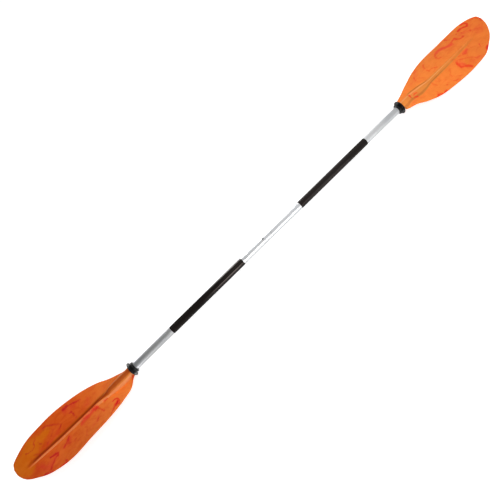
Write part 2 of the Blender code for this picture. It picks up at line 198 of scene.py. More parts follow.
floor_mesh = bpy.data.meshes.new("floor")
corners = [(x * FLOOR_HALF_WIDTH, y * FLOOR_HALF_WIDTH, 0) for y in (-1, 1) for x in (-1, 1)]
floor_mesh.from_pydata(corners, [], [(0, 1, 3, 2)])
floor = bpy.data.objects.new("floor", floor_mesh)
scene.collection.objects.link(floor)
sheet = Recipe("white_sheet")
sheet.shade("Base Color", (0.8, 0.8, 0.8, 1))
sheet.shade("Roughness", 1.0)
sheet.shade("Specular IOR Level", 0.0)
sheet.shade("Emission Color", (1, 1, 1, 1))
sheet.shade("Emission Strength", backdrop_light(sheet, FLOOR_GLOW))
floor_mesh.materials.append(sheet.material)

# %% The world
AMBIENT = 0.34
scene.world = bpy.data.worlds.new("studio")
studio = Recipe("studio", scene.world)
studio.shade("Color", (1, 1, 1, 1))
studio.shade("Strength", studio.sum(backdrop_light(studio, 1.0 - AMBIENT), AMBIENT))


# %% The lamps
def panel(name, place, aim, size, power, mirrored):
    """Soft rectangular lamp that points at a spot, and shows in gloss or not."""
    data = bpy.data.lights.new(name, "AREA")
    data.shape = "RECTANGLE"
    data.size, data.size_y = size
    data.energy = power
    lamp = bpy.data.objects.new(name, data)
    scene.collection.objects.link(lamp)
    facing = (Vector(aim) - Vector(place)).to_track_quat("-Z", "Y")
    lamp.matrix_world = Matrix.Translation(place) @ facing.to_matrix().to_4x4()
    lamp.visible_glossy = mirrored
    return lamp


panel("side_panel", (0.1, -1.7, 1.35), (0.1, 0, 0), (2.8, 0.9), 17, False)
panel("top_panel", (0.4, 0.3, 2.2), (0.4, 0, 0), (3.0, 1.0), 25, False)
panel("front_strip", (0.35, -1.35, 0.28), (0.35, 0, 0.03), (1.1, 0.14), 4.4, True)
panel("back_strip", (0.35, 1.25, 0.62), (0.35, 0, 0.03), (1.1, 0.1), 3.4, True)

# %% [markdown]
# A tunnel of grey paper stands round the paddle, and only mirror images see it. Each tube and sleeve
# shows its own stretch of the tunnel, so its greys change along the shaft. Two brighter cards, given by
# the angles round the shaft between which they stand, draw the two thin lines on the left sleeve.

# %% The tunnel of grey paper
TUNNEL_R = 2.4
TUNNEL_HALF_LENGTH = 4.0
CEILING_GREYS = [(-2.2, 0.02), (-1.6, 0.17), (-1.1, 0.25), (-0.75, 0.22), (-0.4, 0.26)]
CEILING_GREYS += [(-0.2, 0.7), (0.6, 0.76), (1.6, 0.74), (2.3, 0.22)]
CEILING_SIDES = (0.5, 0.9)
SIDES_START = 0.15
SIDES_END_X = (-0.9, -0.4)
GROUND_GREYS = [(-0.67, 1.2), (-0.63, 0.55), (-0.35, 0.62), (-0.1, 0.86), (0.3, 0.86), (0.55, 0.74)]
GROUND_HEIGHT = 0.0004
LINE_GREYS = [(-0.55, 0.0), (-0.2, 9.0)]
LINE_ANGLES = {"front_line": (151, 175), "back_line": (0, 24)}
LINE_R = 1.4
LINE_ENDS = (-0.62, -0.08)


def grey_paper(name, greys, sides=(0.0, 0.0)):
    """Paper that glows by a table of places along X and greys, and more at its two low sides."""
    paper = Recipe(name)
    place = paper.add("ShaderNodeSeparateXYZ", {0: paper.place})
    paper.shade("Base Color", (0, 0, 0, 1))
    paper.shade("Specular IOR Level", 0.0)
    paper.shade("Emission Color", (1, 1, 1, 1))
    glow = greys[0][1]
    for (x0, grey0), (x1, grey1) in zip(greys, greys[1:]):
        glow = paper.sum(paper.spread(place.outputs[0], x0, x1, 0.0, grey1 - grey0), glow)
    for sign, gain in zip((1, -1), sides):
        low_side = paper.spread(place.outputs[1], SIDES_START * sign * TUNNEL_R, sign * TUNNEL_R, 0.0, gain)
        left_only = paper.spread(place.outputs[0], *SIDES_END_X, 1.0, 0.0)
        share = paper.sum(paper.sum(low_side, left_only, "MULTIPLY"), 1.0)
        glow = paper.sum(glow, share, "MULTIPLY")
    paper.shade("Emission Strength", glow)
    return paper.material


def card(name, points, faces, paper):
    """Surface that only mirror images see."""
    mesh = bpy.data.meshes.new(name)
    mesh.from_pydata(points, [], faces)
    mesh.materials.append(paper)
    obj = bpy.data.objects.new(name, mesh)
    scene.collection.objects.link(obj)
    for ray in ("camera", "diffuse", "transmission", "volume_scatter", "shadow"):
        setattr(obj, f"visible_{ray}", False)


ends = (-TUNNEL_HALF_LENGTH, TUNNEL_HALF_LENGTH)
angles = [math.radians(a) for a in range(0, 181, 10)]
vault = [(x, TUNNEL_R * math.cos(a), TUNNEL_R * math.sin(a)) for a in angles for x in ends]
vault_faces = [(2 * k, 2 * k + 1, 2 * k + 3, 2 * k + 2) for k in range(len(angles) - 1)]
card("paper_vault", vault, vault_faces, grey_paper("vault_paper", CEILING_GREYS, CEILING_SIDES))
ground = [(x, y, GROUND_HEIGHT) for y in (-TUNNEL_R, TUNNEL_R) for x in ends]
card("paper_ground", ground, [(0, 1, 3, 2)], grey_paper("ground_paper", GROUND_GREYS))
for name, between in LINE_ANGLES.items():
    turns = [math.radians(a) for a in between]
    spots = [(x, LINE_R * math.cos(a), LINE_R * math.sin(a)) for a in turns for x in LINE_ENDS]
    card(name, spots, [(0, 1, 3, 2)], grey_paper(f"{name}_paper", LINE_GREYS))

# %% [markdown]
# ## Anodised aluminium
# The tube is drawn aluminium with a satin anodised skin. Drawing leaves very fine lines along the
# tube, so the noise that drives the roughness and the relief is stretched a hundred times along X.

# %% The alloy finish
alloy = Recipe("anodised_alloy")
lines = alloy.noise(700, detail=2.0, stretch=(0.01, 1, 1))
cloud = alloy.noise(14, detail=3.0)
tint = alloy.blend(alloy.spread(cloud, 0.35, 0.7), srgb(238, 239, 240), srgb(228, 230, 233))
alloy.shade("Base Color", tint)
alloy.shade("Metallic", 1.0)
alloy.shade("Roughness", alloy.spread(alloy.sum(lines, cloud), 0.7, 1.3, 0.29, 0.33))
alloy.bump(lines, 0.02, 0.0001)
print(f"{alloy.material.name}: {len(alloy.tree.nodes)} nodes")

# %% [markdown]
# ## Steel, nylon and foam
# The button, its spring and the rivet are stainless steel with the faint lines of polishing. The
# ferrule's cap is black nylon, and the plugs inside the tubes are grey closed-cell foam.

# %% The finishes of the small parts
steel = Recipe("stainless_steel")
grain = steel.noise(2600, detail=4.0, stretch=(1, 0.2, 1))
steel.shade("Base Color", steel.blend(grain, srgb(142, 142, 145), srgb(166, 166, 169)))
steel.shade("Metallic", 1.0)
steel.shade("Roughness", steel.spread(grain, 0.3, 0.7, 0.2, 0.34))
steel.bump(grain, 0.05, 0.0001)

nylon = Recipe("black_nylon")
speckle = nylon.noise(1800, detail=3.0)
nylon.shade("Base Color", nylon.blend(speckle, srgb(26, 26, 28), srgb(40, 40, 43)))
nylon.shade("Roughness", nylon.spread(speckle, 0.3, 0.7, 0.42, 0.58))
nylon.bump(speckle, 0.1, 0.0001)

foam = Recipe("grey_foam")
cells = foam.add("ShaderNodeTexVoronoi", {"Vector": foam.place, "Scale": 900.0}).outputs["Distance"]
foam.shade("Base Color", foam.blend(cells, srgb(100, 102, 107), srgb(70, 72, 76)))
foam.shade("Roughness", 0.92)
foam.bump(cells, 0.4, 0.0003)
print("finishes:", [recipe.material.name for recipe in (steel, nylon, foam)])

# %% [markdown]
# ## Black sleeve and rubber
# The grip is a thin satin sleeve shrunk on to the tube. The drip ring is soft rubber with a duller,
# slightly uneven skin. Both are dark, so what shows of them is mostly their gloss.

# %% The two black finishes
sleeve = Recipe("black_sleeve")
texture = sleeve.noise(1500, detail=3.0)
patches = sleeve.noise(60, detail=2.0, stretch=(0.3, 1, 1))
sleeve.shade("Base Color", sleeve.blend(patches, srgb(11, 8, 7), srgb(17, 14, 13)))
sleeve.shade("Roughness", sleeve.spread(sleeve.sum(texture, patches), 0.7, 1.3, 0.11, 0.16))
sleeve.shade("Specular IOR Level", 0.28)
sleeve.shade("Specular Tint", srgb(255, 236, 228))
sleeve.bump(texture, 0.08, 0.0001)

rubber = Recipe("black_rubber")
skin = rubber.noise(900, detail=4.0)
bloom = rubber.noise(120, detail=2.0)
dull_black = rubber.blend(rubber.spread(bloom, 0.45, 0.75), srgb(9, 9, 10), srgb(24, 24, 25))
rubber.shade("Base Color", dull_black)
rubber.shade("Roughness", rubber.spread(rubber.sum(skin, bloom), 0.7, 1.3, 0.16, 0.26))
rubber.shade("Specular IOR Level", 0.4)
rubber.bump(skin, 0.12, 0.0002)

# %% [markdown]
# ## Turned pieces
# Tubes, sleeves, rings, the button and the rivet are all round about an axis. Each is a flat profile
# carried round a circle by Geometry Nodes, with the number of facets as an input. The profile's X is the
# place along the axis and its Y is the height above the circle's radius.


# %% The tree that turns a profile
POLE_MERGE = 0.000002
TURNING_SOCKETS = {"Profile": "Geometry", "Radius": "Float", "Facets": "Int", "Finish": "Material"}


def turning_tree():
    """Node tree: a wire profile carried round a circle about X, its poles merged."""
    tree = bpy.data.node_groups.new("turned_piece", "GeometryNodeTree")
    sockets = {}
    for name, kind in TURNING_SOCKETS.items():
        socket = tree.interface.new_socket(name, in_out="INPUT", socket_type=f"NodeSocket{kind}")
        sockets[name] = socket.identifier
    tree.interface.new_socket("Piece", in_out="OUTPUT", socket_type="NodeSocketGeometry")
    given, result = tree.nodes.new("NodeGroupInput"), tree.nodes.new("NodeGroupOutput")

    def step(kind, **inputs):
        """Adds a node, joins outputs to its inputs, and returns its own output."""
        node = tree.nodes.new(f"GeometryNode{kind}")
        for name, value in inputs.items():
            fill(tree, node, name.replace("_", " "), value)
        return node.outputs[0]

    outline = step("MeshToCurve", Mesh=given.outputs["Profile"])
    circle = step("CurvePrimitiveCircle", Resolution=given.outputs["Facets"], Radius=given.outputs["Radius"])
    upright = step("Transform", Geometry=circle, Rotation=(0, math.pi / 2, 0))
    carried = step("CurveToMesh", Curve=upright, Profile_Curve=outline)
    merged = step("MergeByDistance", Geometry=carried, Distance=POLE_MERGE)
    real = step("RealizeInstances", Geometry=merged)
    finished = step("SetMaterial", Geometry=real, Material=given.outputs["Finish"])
    tree.links.new(finished, result.inputs["Piece"])
    return tree, sockets


TURNING, TURNING_INPUTS = turning_tree()
print("turning tree:", len(TURNING.nodes), "nodes, inputs", list(TURNING_INPUTS))


# %% [markdown]
# The tree's result becomes a plain mesh. A closed mesh whose faces point outwards has a positive
# volume, so a negative one is flipped.


# %% Make a turned piece
def plain_mesh(obj, name):
    """The object's evaluated result as a mesh of its own."""
    graph = bpy.context.evaluated_depsgraph_get()
    mesh = bpy.data.meshes.new_from_object(obj.evaluated_get(graph), depsgraph=graph)
    mesh.name = name
    return mesh


def face_outwards(mesh):
    """Flips a closed mesh whose faces point inwards, and returns its volume."""
    bm = bmesh.new()
    bm.from_mesh(mesh)
    volume = bm.calc_volume(signed=True)
    if volume < 0:
        bmesh.ops.reverse_faces(bm, faces=bm.faces)
        bm.to_mesh(mesh)
    bm.free()
    return abs(volume)


def soften(mesh, angle=35):
    """Smooth shading, with the real edges sharp."""
    mesh.shade_smooth()
    mesh.set_sharp_from_angle(angle=math.radians(angle))


def turned(name, profile, finish, facets=96, place=(0, 0, 0), facing="X", closed=True):
    """Turned piece from (place along the axis, radius) points."""
    wire = bpy.data.meshes.new(name)
    edges = [(k, k + 1) for k in range(len(profile) - 1)]
    if closed:
        edges.append((len(profile) - 1, 0))
    wire.from_pydata([(x, radius - SHAFT_R, 0) for x, radius in profile], edges, [])
    obj = bpy.data.objects.new(name, wire)
    scene.collection.objects.link(obj)
    modifier = obj.modifiers.new("turning", "NODES")
    modifier.node_group = TURNING
    modifier[TURNING_INPUTS["Radius"]] = SHAFT_R
    modifier[TURNING_INPUTS["Facets"]] = facets
    modifier[TURNING_INPUTS["Finish"]] = finish.material
    mesh = plain_mesh(obj, name)
    obj.modifiers.remove(modifier)
    obj.data = mesh
    bpy.data.meshes.remove(wire)
    turn = {"X": 0, "Z": -math.pi / 2, "-Z": math.pi / 2}[facing]
    mesh.transform(Matrix.Translation(place) @ Matrix.Rotation(turn, 4, "Y"))
    volume = face_outwards(mesh)
    soften(mesh)
    print(f"{name}: {len(mesh.polygons)} faces, {volume * 1e6:.2f} cubic cm")
    return obj


# %% [markdown]
# A real edge is never quite sharp. This helper rounds the corners of a profile, each with its own
# radius, by putting a short curve in place of the corner.


# %% Round the corners of a profile
def rounded(points, steps=4):
    """Profile from (x, y, corner radius) points, its corners rounded, in a closed loop."""
    flat = [Vector((x, y)) for x, y, radius in points]
    result = []
    for k, (x, y, radius) in enumerate(points):
        here, before, after = flat[k], flat[k - 1], flat[(k + 1) % len(flat)]
        if radius <= 0:
            result.append((x, y))
            continue
        start = here + (before - here).normalized() * min(radius, 0.45 * (before - here).length)
        end = here + (after - here).normalized() * min(radius, 0.45 * (after - here).length)
        for s in range(steps + 1):
            t = s / steps
            spot = start * (1 - t) ** 2 + here * 2 * t * (1 - t) + end * t**2
            result.append((spot.x, spot.y))
    return result


# %% [markdown]
# ## The two tubes
# Each tube runs from the joint to the bottom of its blade's socket. The left tube has four holes a
# quarter turn apart, so that the blades can be set flat, square or opposite to each other. They are
# drilled with a Boolean, and the profile has extra points on both sides of them, so that the long
# facets stay smooth there.


# %% Tubes
RIM_GUARD = 0.003
RIM_START = 0.0016
RIM_CORNER = 0.0003
RIM_FALL = 0.0004
BUTTON_GUARDS = (-0.009, -0.0055, 0.0055, 0.009)
RIVET_GUARDS = (-0.008, 0.008)


def tube_profile(start, end, guards):
    """Wall of a tube between two places along X, with its ends deburred."""
    straight = [start + RIM_START, start + RIM_GUARD, *guards, end - RIM_GUARD, end - RIM_START]
    outer = [(x, SHAFT_R) for x in straight]
    far_rim = [(end - RIM_CORNER, SHAFT_R - RIM_FALL), (end, SHAFT_R - 2 * RIM_FALL)]
    inner = [(x, TUBE_BORE_R) for x in (end, *reversed(guards), start)]
    near_rim = [(start, SHAFT_R - 2 * RIM_FALL), (start + RIM_CORNER, SHAFT_R - RIM_FALL)]
    return outer + far_rim + inner + near_rim


tube_end = SOCKET_MOUTH + SOCKET_DEPTH
axis = (0, 0, AXIS_HEIGHT)
left_profile = tube_profile(-tube_end, JOINT_X - GAP / 2, [BUTTON_X + d for d in BUTTON_GUARDS])
right_profile = tube_profile(JOINT_X + GAP / 2, tube_end, [RIVET_X + d for d in RIVET_GUARDS])
left_tube = turned("tube_left", left_profile, alloy, place=axis)
right_tube = turned("tube_right", right_profile, alloy, place=axis)


# %% Holes
RIVET_HOLE_R = 0.0023


def drill(obj, x, radius, facings, length=0.04, start=-0.02):
    """Drills round holes across a tube at one place along it."""
    for facing in facings:
        bit_profile = [(start, 0), (start, radius), (start + length, radius), (start + length, 0)]
        bit = turned("drill_bit", bit_profile, alloy, 48, facing="Z", closed=False)
        if facing == "Y":
            bit.data.transform(Matrix.Rotation(math.pi / 2, 4, "X"))
        bit.data.transform(Matrix.Translation((x, 0, AXIS_HEIGHT)))
        boolean = obj.modifiers.new("hole", "BOOLEAN")
        boolean.object = bit
        boolean.solver = "EXACT"
        mesh = plain_mesh(obj, obj.name)
        obj.modifiers.remove(boolean)
        obj.data = mesh
        bpy.data.objects.remove(bit)
    soften(obj.data)


drill(left_tube, BUTTON_X, BUTTON_R + GAP, "ZY")
drill(right_tube, RIVET_X, RIVET_HOLE_R, "Z", length=0.018, start=-0.018)

# %% [markdown]
# ## Button and rivet
# The button is a small steel plug with a rounded rim. Only its cap shows. The rivet on the other side
# has a low domed head. Both are turned about Z.

# %% Button and rivet
BUTTON_RIM = 0.0011
BUTTON_FLANGE_R = 0.0052
BUTTON_FLANGE_THICKNESS = 0.0012
RIVET_DOME = 0.0012
RIVET_HEAD_R = 0.0035
RIVET_SHANK_R = 0.002
button_low, button_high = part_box("snap_button")
button_top = button_high.z - AXIS_HEIGHT
button_seat = button_low.z - AXIS_HEIGHT
button_flange_top = button_seat + BUTTON_FLANGE_THICKNESS
cap = [(button_top, 0)]
for a in np.radians([0, 18, 36, 54, 72, 90]):
    cap.append((button_top - BUTTON_RIM * (1 - math.cos(a)), BUTTON_R - BUTTON_RIM * (1 - math.sin(a))))
cap += [(button_flange_top, BUTTON_R), (button_flange_top, BUTTON_FLANGE_R)]
cap += [(button_seat, BUTTON_FLANGE_R), (button_seat, 0)]
button = turned("button_cap", cap, steel, 64, (BUTTON_X, 0, AXIS_HEIGHT), "Z", closed=False)
head = SHAFT_R + GAP
turns = np.radians([0, 20, 40, 60, 75])
dome = [(head + RIVET_DOME * math.cos(a), RIVET_HEAD_R * math.sin(a)) for a in turns]
shank = [(head + 0.0002, RIVET_HEAD_R), (head, 0.0034), (head, RIVET_SHANK_R), (0.01, RIVET_SHANK_R)]
tail = [(0.0095, 0.00275), (0.0079, 0.0022), (0.0074, 0)]
rivet = turned("rivet_domed", dome + shank + tail, steel, 48, (RIVET_X, 0, AXIS_HEIGHT), "-Z", closed=False)

# %% [markdown]
# ## Grip sleeves
# The sleeve is shrunk on, so it ends in a soft low step. Its profile is a long thin rectangle with
# both outer corners rounded.

# %% Grip sleeves
GRIP_ROUNDING = 0.0005
grips = {}
for side in ("left", "right"):
    low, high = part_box(f"{side}_grip_sleeve")
    outer = (high.z - low.z) / 2
    inner = SHAFT_R + GAP
    corners = [(low.x, inner, 0), (high.x, inner, 0)]
    corners += [(high.x, outer, GRIP_ROUNDING), (low.x, outer, GRIP_ROUNDING)]
    grips[side] = turned(f"grip_{side}", rounded(corners)[::-1], sleeve, place=axis)

# %% [markdown]
# ## Drip rings
# Water that runs down the shaft is caught by the wide lip and drips off. The profile is drawn once from
# the blade's end inwards, with a radius at every rim and root, and mirrored for the other half.


# %% Drip rings
RING_LENGTH = 0.0217
RING_HUB_R = 0.016
RING_FLANGE_R = AXIS_HEIGHT
RING_LIP_R = 0.02
RING_PROFILE = [(0, SHAFT_R + GAP, 0.0003), (0, RING_HUB_R, 0.0006)]
RING_PROFILE += [(0.0016, RING_HUB_R + 0.0006, 0.0012), (0.0042, RING_FLANGE_R, 0.0012)]
RING_PROFILE += [(0.0068, RING_FLANGE_R, 0.001)]
RING_PROFILE += [(0.0042, RING_HUB_R, 0.0022), (0.0148, RING_HUB_R, 0.0016)]
RING_PROFILE += [(0.0152, RING_LIP_R, 0.001), (0.0174, RING_LIP_R, 0.001), (0.018, RING_HUB_R, 0.0012)]
RING_PROFILE += [(RING_LENGTH, RING_HUB_R - 0.0002, 0.0008), (RING_LENGTH, SHAFT_R + GAP, 0.0003)]
rings = {}
for side, sign in (("left", -1), ("right", 1)):
    mouth = sign * (SOCKET_MOUTH - GAP)
    loop = [(mouth - sign * x, radius) for x, radius in rounded(RING_PROFILE, 5)]
    rings[side] = turned(f"ring_{side}", loop if sign > 0 else loop[::-1], rubber, 128, axis)

# %% [markdown]
# ## Shape of the blade
# The blade is one moulding used twice. Its outline is a few points on each edge with a smooth curve
# through them. Its thin wings curl and tilt along its length, and the socket runs out into a rib on the
# power face. On the back a shallow channel lies over the rib. All of these are short tables:
# - FORM: share of the length, share of the neck's rise, curl, tilt
# - RIB: distance from the mouth, share of the socket's half width, share of its height, roundness
# - CHANNEL: distance from the mouth, half width, depth, place across

# %% Tables of the blade
BLADE_LENGTH = 0.493
HALF_WIDTH = 0.092
WALL = 0.0045
BACK_WALL = 0.0019
SOCKET_WALL = 0.0027
EDGE_LONG = 0.0023
EDGE_SHORT = 0.0028
EDGE_ROUNDING = 0.0012
NECK_LONG_EDGE = 0.001
NECK_SHORT_EDGE = 0.0075
BORE_R = SHAFT_R + GAP
NECK_RISE = BORE_R + BACK_WALL - WALL / 2
SOCKET_BOTTOM = BORE_R + SOCKET_WALL
SOCKET_HALF_WIDTH = SOCKET_BOTTOM + 0.6 * SOCKET_WALL
LONG_EDGE = [(0, (SOCKET_HALF_WIDTH + NECK_LONG_EDGE) / HALF_WIDTH), (0.057, 0.29), (0.108, 0.39)]
LONG_EDGE += [(0.179, 0.53), (0.27, 0.733), (0.412, 0.915), (0.574, 0.99), (0.727, 0.99)]
LONG_EDGE += [(0.848, 0.95), (0.982, 0.675)]
SHORT_EDGE = [(0, -(SOCKET_HALF_WIDTH + NECK_SHORT_EDGE) / HALF_WIDTH), (0.057, -0.478), (0.108, -0.617)]
SHORT_EDGE += [(0.179, -0.764), (0.27, -0.884), (0.412, -0.96), (0.574, -1.014), (0.727, -0.915)]
SHORT_EDGE += [(0.848, -0.615), (0.919, -0.355), (0.974, 0.02)]
TIP = (1.0, 0.38)
FORM = [(0, 1, -0.116, 0.016), (0.057, 1, -0.012, 0.006), (0.138, 1, -0.014, 0.011)]
FORM += [(0.259, 0.58, -0.0165, 0.0095), (0.422, 0.4, -0.018, 0.008), (0.625, 0.2, -0.017, 0.003)]
FORM += [(0.828, -0.48, -0.0165, 0.015), (1, -1, -0.01, 0.022)]
RIB = [(0, 1, 1, 0.5), (0.038, 0.99, 1, 0.5), (0.068, 0.93, 1, 0.5), (0.108, 0.67, 0.56, 0.65)]
RIB += [(0.148, 0.42, 0.26, 0.95), (0.183, 0.34, 0.21, 1.1), (0.258, 0.32, 0.18, 1.15)]
RIB += [(0.358, 0.32, 0.14, 1.2), (0.453, 0.32, 0, 1.2)]
CHANNEL = [(0, 0.0145, 0.0008, -0.008), (0.045, 0.0145, 0.001, -0.008)]
CHANNEL += [(0.08, 0.0155, 0.0015, -0.0125), (0.108, 0.013, 0.0018, -0.0125)]
CHANNEL += [(0.135, 0.0088, 0.0022, -0.0125), (0.2, 0.0078, 0.0024, -0.0115)]
CHANNEL += [(0.26, 0.0072, 0.0023, -0.0105), (0.33, 0.0058, 0.0017, -0.007)]
CHANNEL += [(0.383, 0.004, 0.001, -0.002), (0.425, 0.0026, 0, 0.003)]
CROWN_RISE = 0.0012
CROWN_END = 0.036
CROWN_BULGE = 0.007
CROWN_STEP = (-0.0006, 0.0016)
print(f"bore {2000 * BORE_R:.1f} mm across, socket {2000 * SOCKET_HALF_WIDTH:.1f} mm wide")


# %% Read the tables smoothly
def smooth_curve(points, steps=8):
    """Smooth curve through points, as an array with steps points between each two."""
    points = np.array(points, float)
    chords = np.linalg.norm(np.diff(points, axis=0), axis=1)
    t = np.concatenate([[0], np.cumsum(np.sqrt(chords))])
    slopes = np.gradient(points, t, axis=0)
    curve = []
    for k, span in enumerate(np.diff(t)):
        for s in np.arange(steps) / steps:
            ease = 2 * s**3 - 3 * s**2 + 1
            leave = (s**3 - 2 * s**2 + s) * span * slopes[k]
            arrive = (s**3 - s**2) * span * slopes[k + 1]
            curve.append(ease * points[k] + leave + (1 - ease) * points[k + 1] + arrive)
    curve.append(points[-1])
    return np.array(curve)


def read_table(table, column, at):
    """One column of a table, read smoothly at each place."""
    curve = smooth_curve(np.array(table)[:, [0, column]])
    return np.interp(at, curve[:, 0], curve[:, 1])


blade_low, blade_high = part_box("right_blade")
long_edge = smooth_curve([*LONG_EDGE, TIP], 16) * (BLADE_LENGTH, HALF_WIDTH)
short_edge = smooth_curve([*SHORT_EDGE, TIP], 16) * (BLADE_LENGTH, HALF_WIDTH)
long_edge[:, 1] = np.minimum(long_edge[:, 1], blade_high.y)
short_edge[:, 1] = np.maximum(short_edge[:, 1], blade_low.y)
print(f"blade from {short_edge[:, 1].min() * 1000:.1f} to {long_edge[:, 1].max() * 1000:.1f} mm across")


# %% [markdown]
# ## A grid over the blade
# The mesh is a grid of rows across the blade. Each row goes over the back from one edge to the other
# and returns over the power face, so the shell is closed. Columns crowd near the middle, where the
# channel and the rib are, and at the edges.


# %% Rows and columns
ROWS = 220
COLUMNS = 124
ROUNDING_STEPS = (0.0, 0.0001, 0.0004, 0.0008, EDGE_ROUNDING)
CROWN_ROWS = np.linspace(0.034, 0.050, 14)
WAVE_ROWS_END, LAST_ROW, TIP_POINT = 0.9985, 0.9992, 0.9995
NARROW = 0.004
MIDDLE_MARGIN = 0.25


def grid_places():
    """x and y of every grid point in the blade's plane, from the long edge to the short one."""
    angle = np.linspace(0, math.pi, ROWS + 1)[:-1]
    x = (1 - np.cos(angle)) / 2 * BLADE_LENGTH
    x = x[x < WAVE_ROWS_END * BLADE_LENGTH]
    x = np.sort(np.concatenate([x, CROWN_ROWS, [LAST_ROW * BLADE_LENGTH]]))
    high = np.interp(x, long_edge[:, 0], long_edge[:, 1])
    low = np.interp(x, short_edge[:, 0], short_edge[:, 1])
    share = np.minimum(1.0, (high - low) / 2 / NARROW)
    rim = np.array(ROUNDING_STEPS)[None, :] * share[:, None]
    inner_high, inner_low = high - rim[:, -1], low + rim[:, -1]
    margin = MIDDLE_MARGIN * (inner_high - inner_low)
    centre = np.clip(0, inner_low + margin, inner_high - margin)
    s = np.linspace(1, -1, COLUMNS + 1)[1:-1]
    crowd = 0.5 * s + 0.5 * s**3
    reach = np.where(s > 0, (inner_high - centre)[:, None], (centre - inner_low)[:, None])
    inside = centre[:, None] + crowd * reach
    y = np.concatenate([high[:, None] - rim, inside, (low[:, None] + rim)[:, ::-1]], axis=1)
    return np.repeat(x[:, None], y.shape[1], axis=1), y


def edge_distance(x, y):
    """Distance of each grid point from the blade's outline."""
    outline = np.concatenate([long_edge, short_edge[::-1]])
    result = np.full(x.shape, 1.0)
    for (x0, y0), (x1, y1) in zip(outline, outline[1:]):
        dx, dy = x1 - x0, y1 - y0
        share = np.clip(((x - x0) * dx + (y - y0) * dy) / max(dx * dx + dy * dy, 1e-12), 0, 1)
        result = np.minimum(result, np.hypot(x - x0 - share * dx, y - y0 - share * dy))
    return result


grid_x, grid_y = grid_places()
grid_edge = edge_distance(grid_x, grid_y)
print("grid:", grid_x.shape, f"columns by the edge from {grid_edge[:, 1].min() * 1e6:.0f} micrometres in")


# %% [markdown]
# ## Heights of the two faces
# A middle surface gives the curl and tilt. Half the wall goes up to the back and half down to the power
# face, and falls away in a quarter ellipse over the last 1.2 mm, which makes the rounded rim. The channel
# is then sunk into the back, and the rib added under it. Both are smoothed a little across the blade.


# %% Heights
def smoothstep(value, low, high):
    """0 below low, 1 above high, smooth between."""
    t = np.clip((value - low) / (high - low), 0, 1)
    return t * t * (3 - 2 * t)


def smooth_across(field, passes):
    """Averages each value with its neighbours across the blade."""
    for _ in range(passes):
        inner = 0.25 * field[:, :-2] + 0.5 * field[:, 1:-1] + 0.25 * field[:, 2:]
        field = np.concatenate([field[:, :1], inner, field[:, -1:]], axis=1)
    return field


def blade_heights(x, y, edge):
    """z of the back and of the power face over the grid."""
    share = x / BLADE_LENGTH
    out = y / HALF_WIDTH
    centre, curl, tilt = (read_table(FORM, k, share) for k in (1, 2, 3))
    middle_z = NECK_RISE * centre + curl * out**2 + tilt * out
    rib_half = read_table(RIB, 1, x) * SOCKET_HALF_WIDTH
    rib_height = read_table(RIB, 2, x)
    point = read_table(RIB, 3, x)
    channel_half = read_table(CHANNEL, 1, x)
    depth = read_table(CHANNEL, 2, x)
    beside = y - read_table(CHANNEL, 3, x)
    high, low = y[:, :1], y[:, -1:]
    inner = np.minimum(rib_half, 0.4 * (high - low))
    room = np.maximum(np.where(y > 0, high, -low) - inner, 1e-4)
    outward = np.clip((np.abs(y) - inner) / room, 0, 1)
    wall = WALL + (np.where(y > 0, EDGE_LONG, EDGE_SHORT) - WALL) * outward
    rim = np.sqrt(np.clip(1 - (1 - np.clip(edge / EDGE_ROUNDING, 0, 1)) ** 2, 0, 1))
    half = wall / 2 * rim
    flat = np.clip(1 - np.abs(beside / channel_half) ** 5, 0, 1)
    step = CROWN_END + CROWN_BULGE * (1 - np.clip(beside / channel_half, -1, 1) ** 2)
    crown = 1 - smoothstep(x, step + CROWN_STEP[0], step + CROWN_STEP[1])
    sunk = depth * (1 - crown) - CROWN_RISE * crown
    hollow = smooth_across(sunk * flat, 2)
    socket_height = NECK_RISE - WALL / 2 + SOCKET_BOTTOM
    proud = socket_height * rib_height * np.clip(1 - (y / rib_half) ** 2, 0, 1) ** point
    proud = smooth_across(proud, 2)
    return middle_z + half - hollow, middle_z - half - proud


back_z, power_z = blade_heights(grid_x, grid_y, grid_edge)
print(f"faces from {power_z.min() * 1000:.1f} to {back_z.max() * 1000:.1f} mm about the shaft's axis")
